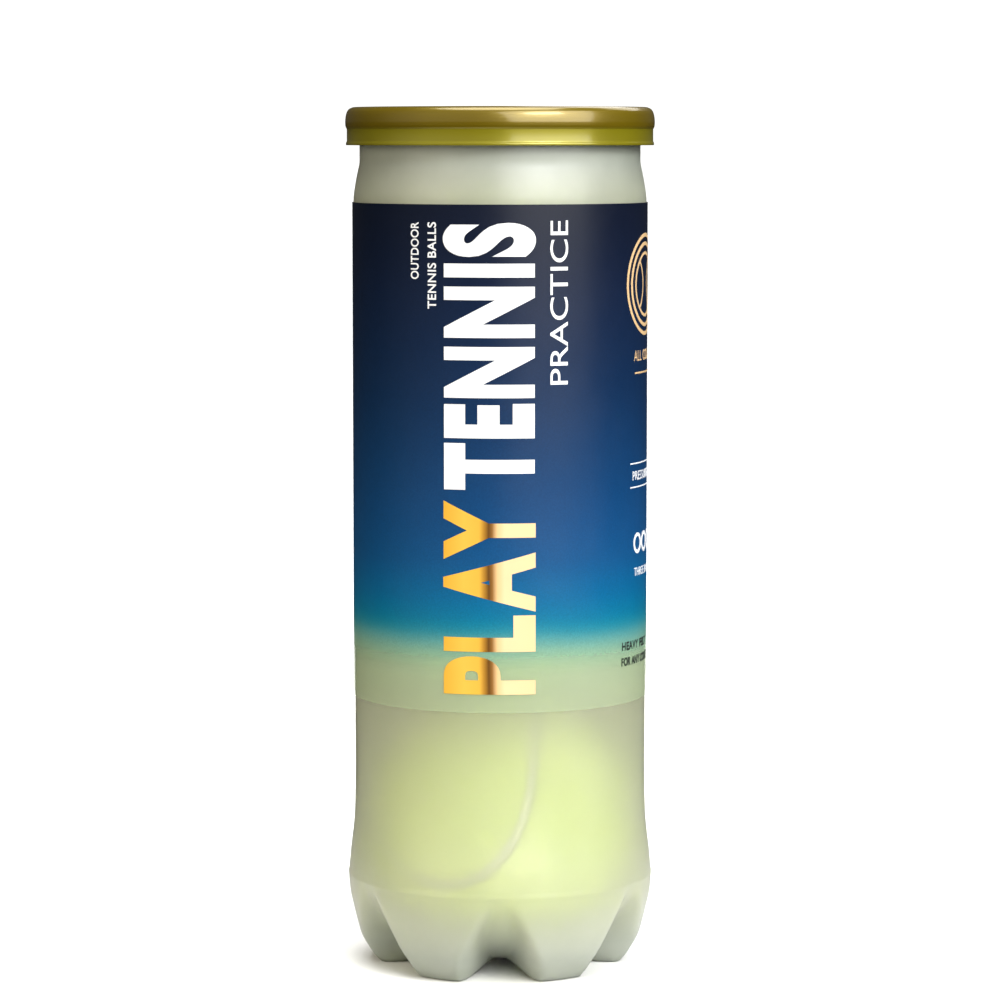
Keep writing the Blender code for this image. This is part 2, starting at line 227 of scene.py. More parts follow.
def frosted_plastic():
    """Blown bottle plastic: a milky wall with a satin skin, cloudier at the neck and in the lobes. Where it
    is clear it is tinted pale lime, a painted glow of the balls behind it; at the neck and in the lobes it
    turns a darker grey.
    """
    look = Look("frosted_plastic")
    _, _, z = look.axes()
    cloud = look.noise(45.0, 4.0, 0.6)
    low = look.between(z, 0.0, 1.0, *(height * MM for height in BASE_CLOUDS))
    high = look.between(z, 1.0, 0.0, *(height * MM for height in NECK_CLOUDS))
    clear = look.math("MULTIPLY", low, high)
    # Painted glow: the clear wall is tinted pale lime as if lit by the yellow balls; the neck and lobes get a
    # darker grey instead.
    body = look.ramp(cloud, [(0.3, srgb(245, 248, 220)), (0.7, srgb(252, 254, 232))])
    drawn = look.ramp(cloud, [(0.3, srgb(192, 198, 184)), (0.7, srgb(209, 214, 201))])
    tint = look.mixed("MIX", clear, drawn, body)
    look.set(Base_Color=tint, Roughness=look.between(cloud, 0.34, 0.42))
    look.set(Transmission_Weight=look.between(clear, 0.5, 0.82, 0.0, 1.0))
    look.set(IOR=1.4, Coat_Weight=0.5, Coat_Roughness=0.3)
    look.bump(look.noise(14.0, 2.0, 0.5, look.scaled(1.0, 0.12)), 0.12, 0.0004)
    return look.material


def printed_film():
    """The sleeve: a night blue that runs through sky blue and teal into clear film at the bottom."""
    look = Look("printed_film")
    _, _, z = look.axes()
    waver = look.between(look.noise(28.0, 2.0), -0.0008, 0.0008, 0.15, 0.85)
    share = look.between(look.math("ADD", z, waver), 0.0, 1.0, LABEL_BOTTOM * MM, LABEL_TOP * MM)
    colours = [
        (0.0, srgb(190, 206, 168)),
        (0.07, srgb(184, 204, 166)),
        (0.10, srgb(160, 194, 160)),
        (0.12, srgb(132, 180, 158)),
        (0.14, srgb(88, 156, 154)),
        (0.16, srgb(20, 122, 140)),
        (0.185, srgb(0, 102, 136)),
        (0.225, srgb(0, 92, 136)),
        (0.30, srgb(12, 70, 120)),
        (0.45, srgb(12, 56, 99)),
        (0.62, srgb(10, 37, 70)),
        (0.82, srgb(10, 24, 50)),
        (1.0, srgb(8, 14, 30)),
    ]
    cover = [(0.0, 0.22), (0.07, 0.26), (0.10, 0.38), (0.12, 0.54), (0.14, 0.74), (0.16, 0.96), (0.18, 1.0)]
    opacity = [(position, (value, value, value, 1.0)) for position, value in cover]
    speckle = look.ramp(look.noise(2600.0, 2.0), [(0.35, (0.9, 0.9, 0.9, 1)), (0.65, (1.06, 1.06, 1.06, 1))])
    look.set(Base_Color=look.mixed("MULTIPLY", 1.0, look.ramp(share, colours, smooth=True), speckle))
    look.set(Alpha=look.ramp(share, opacity, smooth=True), Specular_IOR_Level=0.32)
    look.set(Roughness=look.between(look.noise(60.0, 6.0, 0.7), 0.30, 0.42))
    look.bump(look.noise(9.0, 2.0, 0.5, look.scaled(1.0, 0.3)), 0.3, 0.0004)
    return look.material


def print_ink(name, low, high, roughness=(0.3, 0.45)):
    """An opaque print with a fine, uneven laydown."""
    look = Look(name)
    laydown = look.noise(150.0, 2.0)
    look.set(Base_Color=look.ramp(laydown, [(0.3, low), (0.7, high)]))
    look.set(Roughness=look.between(laydown, *roughness))
    return look.material


def gold_foil():
    """Hot-stamped gold foil with a painted reflection: by azimuth its gold runs from amber over a narrow dark
    brown band of painted shade to a pale gold painted highlight.
    """
    look = Look("gold_foil")
    x, y, _ = look.axes()
    azimuth = look.math("ARCTAN2", x, look.math("MULTIPLY", y, -1.0))
    waver = look.between(look.noise(40.0, 2.0), math.radians(-0.5), math.radians(0.5), 0.15, 0.85)
    share = look.between(look.math("ADD", azimuth, waver), 0.0, 1.0, *map(math.radians, FOIL_PAINTED_REFLECTION_DEG))
    # Painted reflection: amber on the left, a dark brown band where no lamp's reflection falls, pale gold
    # where the key's reflection falls.
    tones = [
        (0.0, srgb(234, 174, 54)),
        (0.22, srgb(246, 194, 78)),
        (0.35, srgb(238, 184, 70)),
        (0.39, srgb(186, 132, 46)),
        (0.43, srgb(104, 66, 22)),
        (0.46, srgb(150, 104, 50)),
        (0.50, srgb(240, 198, 140)),
        (0.56, srgb(252, 218, 168)),
        (1.0, srgb(244, 204, 150)),
    ]
    look.set(Base_Color=look.ramp(share, tones), Metallic=0.2)
    look.set(Roughness=look.between(look.noise(120.0, 2.0), 0.26, 0.34, 0.15, 0.85))
    return look.material


def cap_plastic():
    """Pearly, translucent olive-gold plastic: browner in the thicker bead than in the skirt below it, whose
    lighter, greener tone is painted light shining through its thin wall.
    """
    look = Look("cap_plastic")
    _, _, z = look.axes()
    haze = look.noise(40.0, 2.0, 0.5)
    # Painted light: the skirt is coloured lighter and greener, as if lit through its thin wall; the bead
    # keeps the browner plastic.
    bead = look.ramp(haze, [(0.15, srgb(116, 96, 3)), (0.85, srgb(126, 108, 6))])
    skirt = look.ramp(haze, [(0.15, srgb(136, 126, 10)), (0.85, srgb(152, 144, 22))])
    bead_share = look.between(z, 0.0, 1.0, *(height * MM for height in CAP_CHANGE))
    look.set(Base_Color=look.mixed("MIX", bead_share, skirt, bead))
    look.set(Roughness=look.between(haze, 0.27, 0.31, 0.15, 0.85))
    look.set(Metallic=0.38, Transmission_Weight=0.15, IOR=1.49, Coat_Weight=0.65, Coat_Roughness=0.12)
    return look.material


def rolled_metal(name, low, high, roughness):
    """Bright sheet metal with rolling lines and a few scuffs."""
    look = Look(name)
    lines = look.add("ShaderNodeMapping", {"Vector": look.place, "Scale": (20.0, 900.0, 900.0)}).outputs[0]
    rolling = look.noise(2.0, 4.0, 0.7, lines)
    scuff = look.noise(220.0, 6.0, 0.75)
    look.set(Base_Color=look.ramp(rolling, [(0.3, low), (0.7, high)]), Metallic=1.0)
    look.set(Roughness=look.between(scuff, *roughness))
    look.bump(rolling, 0.08, 0.00003)
    return look.material


def rubber(name, low, high, grain_scale, roughness=(0.6, 0.85)):
    """Matt rubber with a fine grain and patchy bloom."""
    look = Look(name)
    bloom = look.noise(90.0, 5.0, 0.6)
    look.set(Base_Color=look.ramp(bloom, [(0.3, low), (0.7, high)]))
    look.set(Roughness=look.between(bloom, *roughness))
    look.bump(look.noise(grain_scale, 4.0, 0.6), 0.4, 0.0001)
    return look.material


def ball_felt():
    """Optic-yellow wool felt: a tangled nap with a soft sheen, paler where the nap stands high and darker, as
    painted shade, where it lies low.
    """
    look = Look("ball_felt")
    nap = look.noise(620.0, 8.0, 0.75)
    warped = look.add("ShaderNodeMapping", {"Vector": look.place, "Scale": (1.0, 2.6, 1.0)}).outputs[0]
    fibres = look.noise(1500.0, 6.0, 0.8, warped)
    patches = look.noise(60.0, 3.0)
    # The colour follows the nap's height, the same as the bump: painted shade low in the nap, with random
    # patches of tone.
    depth = look.math("ADD", look.math("MULTIPLY", nap, 0.6), look.math("MULTIPLY", fibres, 0.4))
    shade = look.math("ADD", depth, look.between(patches, -0.05, 0.05))
    tones = [
        (0.33, srgb(180, 199, 68)),
        (0.47, srgb(213, 230, 118)),
        (0.58, srgb(227, 238, 146)),
        (0.70, srgb(240, 246, 182)),
    ]
    look.set(Base_Color=look.ramp(shade, tones), Roughness=0.95, Specular_IOR_Level=0.15)
    look.set(Sheen_Weight=0.5, Sheen_Roughness=0.5, Sheen_Tint=srgb(236, 246, 170))
    look.bump(depth, 0.9, 0.0006)
    return look.material


def studio_floor():
    """A pale floor that throws light back only near the object, so that low reflections stay dark."""
    look = Look("studio_floor")
    cloud = look.noise(3.0, 3.0)
    pale = look.ramp(cloud, [(0.3, srgb(246, 246, 245)), (0.7, srgb(250, 250, 249))])
    distance = look.add("ShaderNodeVectorMath", {0: look.place}, operation="LENGTH").outputs["Value"]
    outwards = look.between(distance, 0.0, 1.0, 0.07, 0.28)
    thrown = look.ramp(outwards, [(0.0, srgb(205, 205, 203)), (1.0, srgb(30, 30, 29))])
    choice = seen_directly(look.tree, 1.0, 0.0)
    look.set(Base_Color=look.mixed("MIX", choice.outputs["Result"], thrown, pale))
    look.set(Roughness=look.between(cloud, 0.75, 0.9), Specular_IOR_Level=0.0)
    return look.material


# Mesh tools.


def finish_piece(name, mesh, material, body, sharp_deg=35.0):
    mesh.materials.append(material)
    mesh.shade_smooth()
    mesh.set_sharp_from_angle(angle=math.radians(sharp_deg))
    obj = bpy.data.objects.new(name, mesh)
    bpy.context.scene.collection.objects.link(obj)
    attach(obj, body)
    return obj


def grid_mesh(name, points, wrap_rows=False, wrap_columns=False):
    """A mesh of quads over rows and columns of points, in millimetres. Touching points are merged."""
    rows, columns, _ = points.shape
    index = np.arange(rows * columns).reshape(rows, columns)
    if wrap_rows:
        index = np.vstack([index, index[:1]])
    if wrap_columns:
        index = np.hstack([index, index[:, :1]])
    corners = (index[:-1, :-1], index[1:, :-1], index[1:, 1:], index[:-1, 1:])
    faces = np.stack([corner.ravel() for corner in corners], axis=1)
    mesh = bpy.data.meshes.new(name)
    mesh.from_pydata((points.reshape(-1, 3) * MM).tolist(), [], faces.tolist())
    tidy = bmesh.new()
    tidy.from_mesh(mesh)
    bmesh.ops.remove_doubles(tidy, verts=tidy.verts, dist=0.002 * MM)
    tidy.to_mesh(mesh)
    tidy.free()
    return mesh


def rounded(profile, radius, closed=True, steps=4):
    """The profile with each corner rounded off, by at most the radius or a third of the shorter side."""
    points = [Vector(point) for point in profile]
    count = len(points)
    result = []
    for i, corner in enumerate(points):
        if not closed and i in (0, count - 1):
            result.append(corner)
            continue
        before = points[i - 1] - corner
        after = points[(i + 1) % count] - corner
        reach = min(radius, before.length / 3, after.length / 3)
        start = corner + before.normalized() * reach
        end = corner + after.normalized() * reach
        for step in range(steps + 1):
            share = step / steps
            result.append(start.lerp(corner, share).lerp(corner.lerp(end, share), share))
    return [tuple(point) for point in result]


def turned_points(profile, around=AROUND):
    """The points of a turned shape, one row for each profile point, counted from the front."""
    line = np.array(profile)
    azimuth = np.linspace(0, 2 * np.pi, around, endpoint=False)
    radius = line[:, :1]
    height = np.repeat(line[:, 1:], around, axis=1)
    return np.stack([radius * np.sin(azimuth), -radius * np.cos(azimuth), height], axis=2)


def turned(name, profile, material, body, closed=True):
    mesh = grid_mesh(name, turned_points(profile), wrap_rows=closed, wrap_columns=True)
    return finish_piece(name, mesh, material, body)


def thickened(obj, thickness, offset=-1.0, sharp_deg=35.0):
    """Turns a surface into a wall, with crisp edges round its rim."""
    wall = obj.modifiers.new("wall", "SOLIDIFY")
    wall.thickness = thickness * MM
    wall.offset = offset
    surface = obj.data
    obj.data = evaluated_mesh(obj)
    obj.modifiers.clear()
    bpy.data.meshes.remove(surface)
    obj.data.set_sharp_from_angle(angle=math.radians(sharp_deg))
    return obj


def evaluated_mesh(obj):
    bpy.context.view_layer.update()
    return bpy.data.meshes.new_from_object(obj.evaluated_get(bpy.context.evaluated_depsgraph_get()))


def smoothstep(value):
    share = np.clip(value, 0.0, 1.0)
    return share * share * (3 - 2 * share)


def through(points, steps):
    """A smooth curve through the points, paced by their distances, so that no span overshoots."""
    line = np.array(points, float)
    knots = np.concatenate([[0.0], np.cumsum(np.linalg.norm(np.diff(line, axis=0), axis=1))])
    slopes = np.gradient(line, knots, axis=0)
    result = []
    for i in range(len(line) - 1):
        span = knots[i + 1] - knots[i]
        for share in np.linspace(0, 1, steps, endpoint=False):
            square, cube = share**2, share**3
            value = (2 * cube - 3 * square + 1) * line[i] + (3 * square - 2 * cube) * line[i + 1]
            value += span * ((cube - 2 * square + share) * slopes[i] + (cube - square) * slopes[i + 1])
            result.append(value)
    result.append(line[-1])
    return np.array(result)


# The can.


def can_outline():
    """The outer surface from flange to hub: rows of lobe radius and height, valley radius and height."""
    under = FLANGE_TOP - CAN_WALL
    flange = [(NECK_RADIUS + 1.4, under), (NECK_RADIUS + 0.5, under), (NECK_RADIUS + 0.1, under - 0.2)]
    side = [
        (NECK_RADIUS, under - 0.8),
        (NECK_RADIUS, 200.5),
        (NECK_RADIUS + 0.03, 198.4),
        (NECK_RADIUS + 0.4, 196.5),
        (NECK_RADIUS + 0.75, 194.8),
        (NECK_RADIUS + 1.2, 192.2),
        (BODY_RADIUS - 0.03, 190.0),
        (BODY_RADIUS, 187.0),
        (BODY_RADIUS, 120.0),
        (BODY_RADIUS, 60.0),
        (BODY_RADIUS, 46.0),
        (BODY_RADIUS + 0.3, 36.0),
        (BULGE_RADIUS - 0.3, 26.0),
    ]
    base = [
        (BULGE_RADIUS, 21.5, BULGE_RADIUS - 0.2, 22.6),
        (37.3, 17.2, 36.6, 19.6),
        (36.5, 13.7, 35.0, 17.0),
        (35.7, 10.4, 33.0, 14.6),
        (34.7, 7.0, 30.7, 12.3),
        (33.1, 4.1, 28.3, 10.3),
        (31.6, 1.9, 25.8, 8.5),
        (30.3, 0.5, 23.2, 6.9),
        (29.0, 0.0, 20.8, 5.6),
        (24.8, 0.0, 17.0, 3.9),
        (20.5, 0.7, 13.5, 2.8),
        (15.5, 1.4, 10.0, 2.0),
        (8.0, 1.5, 5.5, 1.5),
        (2.8, 1.25, 2.8, 1.25),
    ]
    flange_rows = np.array([point + point for point in flange])
    fine = through([point + point for point in side] + base, 8)
    gate = np.array([(2.2, 0.7, 2.2, 0.7), (1.7, 0.55, 1.7, 0.55), (0.0, 0.5, 0.0, 0.5)])
    return np.vstack([flange_rows, fine, gate])


def can_wall(material):
    """One wall from the neck flange to the hub, with the base mould's parting ridge."""
    rows = can_outline()
    around = LOBES * 40
    azimuth = np.linspace(0, 2 * np.pi, around, endpoint=False)
    period = 2 * np.pi / LOBES
    from_valley = np.degrees(np.abs((azimuth + period / 2) % period - period / 2))
    depth = smoothstep(1.0 - rows[:, 1:2] / LOBE_START)
    floor = VALLEY_FLOOR_DEG[0] + depth * (VALLEY_FLOOR_DEG[1] - VALLEY_FLOOR_DEG[0])
    top = VALLEY_TOP_DEG[0] + depth * (VALLEY_TOP_DEG[1] - VALLEY_TOP_DEG[0])
    share = smoothstep((from_valley - floor) / (top - floor))
    radius = rows[:, 2:3] + share * (rows[:, 0:1] - rows[:, 2:3])
    height = rows[:, 3:4] + share * (rows[:, 1:2] - rows[:, 3:4])
    parting = 0.14 * np.exp(-(((height - 22.4) / 0.45) ** 2))
    radius = np.minimum(radius + parting, BULGE_RADIUS + 0.15)
    height = np.maximum(height, 0.0)
    points = np.stack([radius * np.sin(azimuth), -radius * np.cos(azimuth), height], axis=2)
    mesh = grid_mesh("can_wall", points, wrap_columns=True)
    obj = finish_piece("can_wall", mesh, material, "can", 60.0)
    thickened(obj, CAN_WALL)
    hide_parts("can_body")


def sleeve(material):
    """The film, wrapped once round with its edge overlapping at the back."""
    around = 240
    heights = np.linspace(LABEL_TOP, LABEL_BOTTOM, 60)
    azimuth = np.linspace(0, 2 * np.pi, around, endpoint=False)
    overlap = smoothstep((azimuth - np.radians(176)) / np.radians(1.5)) * (azimuth < np.pi)
    outer = np.tile(LABEL_OUTER - 0.12 + 0.09 * overlap, (len(heights), 1))
    x, y = outer * np.sin(azimuth), -outer * np.cos(azimuth)
    z = np.repeat(heights[:, None], around, axis=1)
    mesh = grid_mesh("sleeve", np.stack([x, y, z], axis=2), wrap_columns=True)
    obj = finish_piece("sleeve", mesh, material, "can")
    thickened(obj, FILM_THICKNESS)
    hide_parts("label_sleeve")


# Prints on the sleeve. A print is drawn flat in millimetres, across and up, and then wrapped on the film.


def wrapped(name, flat, azimuth_deg, height, material, lift=0.0):
    """Wraps a flat bmesh on the sleeve, centred on an azimuth and standing on a height."""
    low = min(vert.co.x for vert in flat.verts)
    high = max(vert.co.x for vert in flat.verts)
    for step in range(1, int(high - low) + 1):
        geometry = flat.verts[:] + flat.edges[:] + flat.faces[:]
        bmesh.ops.bisect_plane(flat, geom=geometry, plane_co=(low + step, 0, 0), plane_no=(1, 0, 0))
    bmesh.ops.dissolve_degenerate(flat, dist=1e-3, edges=flat.edges[:])
    outer = LABEL_OUTER - PRINT_INSET + lift
    for vert in flat.verts:
        turn = math.radians(azimuth_deg) + vert.co.x / outer
        vert.co = Vector((outer * math.sin(turn), -outer * math.cos(turn), height + vert.co.y)) * MM
    bmesh.ops.recalc_face_normals(flat, faces=flat.faces)
    outwards = sum(face.normal.x * face.calc_center_median().x + face.normal.y * face.calc_center_median().y
                   for face in flat.faces)
    if outwards < 0:
        bmesh.ops.reverse_faces(flat, faces=flat.faces)
    mesh = bpy.data.meshes.new(name)
    flat.to_mesh(mesh)
    flat.free()
    obj = finish_piece(name, mesh, material, "can")
    return thickened(obj, PRINT_THICKNESS, 1.0)


def words(name, text, azimuth_deg, height, length, cap_height, material, upward=True, bold=0.0, looser=None):
    """Plain capitals of a given length and height, reading up the can or round it.

    The gap after the letter that looser counts, from 0, is wider than the others.
    """
    curve = bpy.data.curves.new(name, "FONT")
    curve.body = text
    curve.offset = bold
    curve.space_character = 1.0 + BOLD_SPACING * bold
    if looser is not None:
        curve.body_format[looser].kerning = LOOSER_KERNING
    curve.resolution_u = 8
    drawn = bpy.data.objects.new(name, curve)
    bpy.context.scene.collection.objects.link(drawn)
    mesh = evaluated_mesh(drawn)
    bpy.data.objects.remove(drawn)
    flat = bmesh.new()
    flat.from_mesh(mesh)
    bpy.data.meshes.remove(mesh)
    bmesh.ops.remove_doubles(flat, verts=flat.verts, dist=1e-5)
    xs = [vert.co.x for vert in flat.verts]
    ys = [vert.co.y for vert in flat.verts]
    for vert in flat.verts:
        along = (vert.co.x - min(xs)) / (max(xs) - min(xs)) * length
        across = (vert.co.y - min(ys)) / (max(ys) - min(ys)) * cap_height
        if upward:
            vert.co = Vector((cap_height / 2 - across, along, 0.0))
        else:
            vert.co = Vector((along - length / 2, across, 0.0))
    return wrapped(name, flat, azimuth_deg, height, material)


def ribbons(name, paths, half_width, azimuth_deg, height, material, lift=0.0):
    """Flat lines of one width along paths of (across, up) points."""
    flat = bmesh.new()
    for path in paths:
        line = [Vector(point) for point in path]
        sides = []
        for i, point in enumerate(line):
            forward = (line[min(i + 1, len(line) - 1)] - line[max(i - 1, 0)]).normalized()
            across = Vector((-forward.y, forward.x)) * half_width
            sides.append([flat.verts.new((*(point + side), 0.0)) for side in (across, -across)])
        for (a, b), (c, d) in zip(sides, sides[1:]):
            flat.faces.new((a, b, d, c))
    bmesh.ops.remove_doubles(flat, verts=flat.verts, dist=1e-4)
    return wrapped(name, flat, azimuth_deg, height, material, lift)


def circle(radius, first_deg=0.0, last_deg=360.0, centre=(0.0, 0.0), count=72):
    turns = np.radians(np.linspace(first_deg, last_deg, count))
    return [(centre[0] + radius * math.cos(turn), centre[1] + radius * math.sin(turn)) for turn in turns]


def prints(white, gold, black):
    words("print_word_lower", "PLAY", WORDS_DEG, 71.8, 46.5, 22.5, gold, bold=0.05, looser=1)
    words("print_word_upper", "TENNIS", WORDS_DEG, 121.0, 63.5, 22.5, white, bold=0.05)
    words("print_small_left", "OUTDOOR", -34.0, 171.0, 13.6, 2.3, white, bold=0.015)
    words("print_small_right", "TENNIS BALLS", -26.5, 164.0, 20.6, 2.3, white, bold=0.015)
    words("print_thin_word", "PRACTICE", 22.8, 146.0, 39.0, 4.6, white)
    words("print_use_upper", "HEAVY FELT", 67.0, 80.2, 15.5, 2.1, black, upward=False, bold=0.03)
    words("print_use_lower", "FOR ANY COURT", 69.0, 76.4, 18.5, 2.1, black, upward=False, bold=0.03)
    ring = [circle(12.0), circle(9.9)]
    ball_seams = [circle(7.4, -52, 52, (-9.6, 0.0), 24), circle(7.4, 128, 232, (9.6, 0.0), 24)]
    ribbons("print_badge", ring, 0.45, 77.0, 169.0, gold)
    ribbons("print_badge_ball", [circle(7.6)] + ball_seams, 0.35, 77.0, 169.0, gold)
    words("print_badge_words", "ALL COURT", 77.0, 150.5, 17.0, 2.6, gold, upward=False)
    ribbons("print_rule_upper", [[(-8.0, 0.0), (8.0, 0.0)]], 0.2, 77.0, 147.6, gold)
    words("print_side_first", "PRESSURISED", 76.0, 121.5, 17.0, 2.2, white, upward=False)
    frame_lines = [[(-9.8, up), (9.8, up)] for up in (-1.2, 4.6)]
    ribbons("print_side_frame", frame_lines, 0.15, 76.0, 121.0, white)
    in_a_row = [circle(2.1, centre=(across, 0.0)) for across in (-5.4, 0.0, 5.4)]
    ribbons("print_side_mark", in_a_row, 0.45, 76.0, 106.0, white)
    words("print_side_last", "THREE BALLS", 76.0, 98.0, 15.0, 2.0, white, upward=False)
    back_of_pack(white, black)


def back_of_pack(white, black):
    """A plain bar pattern and a block of rules for small print on the side that faces away."""
    ribbons("print_code_ground", [[(-15.0, 0.0), (15.0, 0.0)]], 9.0, -140.0, 112.0, white)
    bars = []
    across = -12.5
    for i in range(26):
        width = (0.25, 0.5, 0.25, 0.75)[(i * i + 3 * i) % 4]
        bars.append([(across, -7.0), (across, 7.0)])
        across += width + (0.4, 0.7, 0.5)[i % 3]
    ribbons("print_code_bars", bars, 0.17, -140.0, 112.0, black, lift=0.04)
    rules = [[(-15.0, -2.4 * i), (15.0 - 4.0 * (i % 3), -2.4 * i)] for i in range(8)]
    ribbons("print_rules", rules, 0.35, -140.0, 160.0, white)
    ribbons("print_back_badge", [circle(12.0), circle(9.9)], 0.45, 150.0, 160.0, white)
    seams = [circle(9.2, -50, 50, (-11.4, 0.0), 24), circle(9.2, 130, 230, (11.4, 0.0), 24)]
    ribbons("print_back_badge_ball", seams, 0.4, 150.0, 160.0, white)


# The end and the overcap.


def ring_piece(material):
    """The seamed ring, with the rolled edge of its double seam."""
    chuck = NECK_RADIUS - CAN_WALL - 0.25
    lip = chuck - 0.5
    hook_top = FLANGE_TOP - CAN_WALL - 0.3
    profile = [
        (chuck + 0.3, RING_TOP),
        (RING_RADIUS - 0.5, RING_TOP),
        (RING_RADIUS, RING_TOP - 0.7),
        (RING_RADIUS - 0.05, hook_top + 0.6),
        (RING_RADIUS, hook_top - 0.1),
        (RING_RADIUS - 0.3, hook_top - 0.55),
        (NECK_RADIUS + 0.6, hook_top - 0.55),
        (NECK_RADIUS + 0.6, hook_top),
        (RING_RADIUS - 0.45, hook_top),
        (RING_RADIUS - 0.45, RING_TOP - 0.5),
        (chuck, RING_TOP - 0.5),
        (chuck, RING_BOTTOM),
        (lip, RING_BOTTOM),
        (lip, RING_BOTTOM + 0.4),
        (chuck - 0.3, RING_BOTTOM + 0.4),
        (chuck - 0.25, RING_TOP - 0.5),
    ]
    obj = turned("seamed_ring", rounded(profile, 0.35), material, "can")
    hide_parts("end_ring")


def panel_piece(material):
    """The tear-out panel: an edge bead, a raised floor with a groove, and a finger well under the tab."""
    edge = RING_BOTTOM + 0.4
    profile = [
        (0.0, PANEL_TOP),
        (12.0, PANEL_TOP),
        (23.2, PANEL_TOP),
        (23.8, PANEL_TOP - 0.25),
        (24.6, PANEL_TOP - 0.25),
        (25.2, PANEL_TOP),
        (PANEL_RADIUS - 4.3, PANEL_TOP),
        (PANEL_RADIUS - 3.4, PANEL_TOP - 0.4),
        (PANEL_RADIUS - 1.9, edge - 0.5),
        (PANEL_RADIUS - 0.9, edge - 0.2),
        (PANEL_RADIUS, edge),
    ]
    fine = []
    line = rounded(profile, 0.8, closed=False)
    for (r0, z0), (r1, z1) in zip(line, line[1:]):
        steps = max(1, int(abs(r1 - r0) / 0.8))
        fine += [(r0 + (r1 - r0) * i / steps, z0 + (z1 - z0) * i / steps) for i in range(steps)]
    fine.append(line[-1])
    points = turned_points(fine)
    well = np.hypot(points[:, :, 0] / 8.5, (points[:, :, 1] + 4.5) / 6.0)
    points[:, :, 2] -= 0.75 * smoothstep(1.25 - well)
    mesh = grid_mesh("torn_panel", points, wrap_columns=True)
    obj = finish_piece("torn_panel", mesh, material, "end_panel")
    thickened(obj, PANEL_THICKNESS)
    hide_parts("tear_panel")


def rivet_piece(material):
    low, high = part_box("tab_rivet")
    base, top = low.z / MM, high.z / MM
    profile = [
        (0.0, top - 0.25),
        (0.8, top - 0.2),
        (1.2, top),
        (1.75, top - 0.15),
        (1.75, base + 0.7),
        (2.85, base + 0.62),
        (2.85, base + 0.28),
        (1.6, base + 0.2),
        (1.6, base),
        (0.0, base),
    ]
    mesh = grid_mesh("rivet_head", turned_points(rounded(profile, 0.2, closed=False), 48), wrap_columns=True)
    centre = (low + high) / 2
    mesh.transform(Matrix.Translation((centre.x, centre.y, 0.0)))
    obj = finish_piece("rivet_head", mesh, material, "end_panel")
    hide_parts("tab_rivet")


def tab_piece(material):
    """The pull tab: curled edges, a finger hole, and a slot round the riveted tongue."""
    low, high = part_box("pull_tab")
    nose_y = low.y / MM
    ring_centre = high.y / MM - 10.5
    nose_half = 5.4
    rivet_y = nose_y + 6.2
    curl = 0.35
    meet = math.degrees(math.acos((nose_half + 0.8) / 10.5))
    ring = circle(10.5, -meet, 180 + meet, (0.0, ring_centre), 48)
    nose = circle(1.5, 180, 270, (-nose_half + 1.5, nose_y + 1.5), 8)
    nose += circle(1.5, 270, 360, (nose_half - 1.5, nose_y + 1.5), 8)
    hole = circle(6.8, 0, 352.5, (0.0, ring_centre), 48)
    slot_half = nose_half - 2.0
    slot = circle(slot_half, 0, 180, (0.0, rivet_y + 0.2), 24)
    slot += [(-slot_half, nose_y + 2.4), (slot_half, nose_y + 2.4)]
    curve = bpy.data.curves.new("curled_tab", "CURVE")
    curve.dimensions = "2D"
    curve.fill_mode = "BOTH"
    curve.extrude = (TAB_TOP - TAB_BOTTOM) / 2 * MM - curl * MM
    curve.bevel_depth = curl * MM
    curve.bevel_resolution = 3
    curve.offset = -curl * MM
    for outline in (ring + nose, hole, slot):
        spline = curve.splines.new("POLY")
        spline.points.add(len(outline) - 1)
        for point, (x, y) in zip(spline.points, outline):
            point.co = (x * MM, y * MM, 0.0, 1.0)
        spline.use_cyclic_u = True
    drawn = bpy.data.objects.new("curled_tab_curve", curve)
    bpy.context.scene.collection.objects.link(drawn)
    mesh = evaluated_mesh(drawn)
    bpy.data.objects.remove(drawn)
    mesh.transform(Matrix.Translation((0.0, 0.0, (TAB_TOP + TAB_BOTTOM) / 2 * MM)))
    mesh.materials.clear()
    obj = finish_piece("curled_tab", mesh, material, "pull_tab")
    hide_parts("pull_tab")


def cap_piece(material):
    """The overcap: a bead round the top, a slightly narrower skirt with a lip, and a recessed disc."""
    disc_under = RING_TOP + 0.4
    disc_top = disc_under + 0.9
    inner = RING_RADIUS + 0.25
    skirt = CAP_RADIUS - 0.4
    bead_bottom = HEIGHT - 5.1
    profile = [
        (0.0, disc_top - 0.12),
        (1.3, disc_top - 0.12),
        (1.6, disc_top),
        (25.6, disc_top),
        (26.0, disc_top - 0.15),
        (26.8, disc_top - 0.15),
        (27.2, disc_top),
        (33.6, disc_top),
        (34.4, HEIGHT - 0.15),
        (35.2, HEIGHT),
        (36.0, HEIGHT),
        (37.0, HEIGHT - 0.4),
        (37.5, HEIGHT - 1.0),
        (37.78, HEIGHT - 1.8),
        (37.93, HEIGHT - 2.7),
        (CAP_RADIUS, HEIGHT - 3.7),
        (37.94, HEIGHT - 4.6),
        (37.8, bead_bottom + 0.05),
        (skirt, bead_bottom - 0.25),
        (skirt, CAP_BOTTOM + 0.95),
        (skirt + 0.22, CAP_BOTTOM + 0.55),
        (skirt + 0.22, CAP_BOTTOM),
        (inner, CAP_BOTTOM),
        (inner, RING_TOP - 0.3),
        (inner - 0.7, disc_under),
        (0.0, disc_under),
    ]
    outline = rounded(profile, 0.45, closed=False)
    obj = turned("cap", outline, material, "overcap", closed=False)
    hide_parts("overcap")


# The balls.


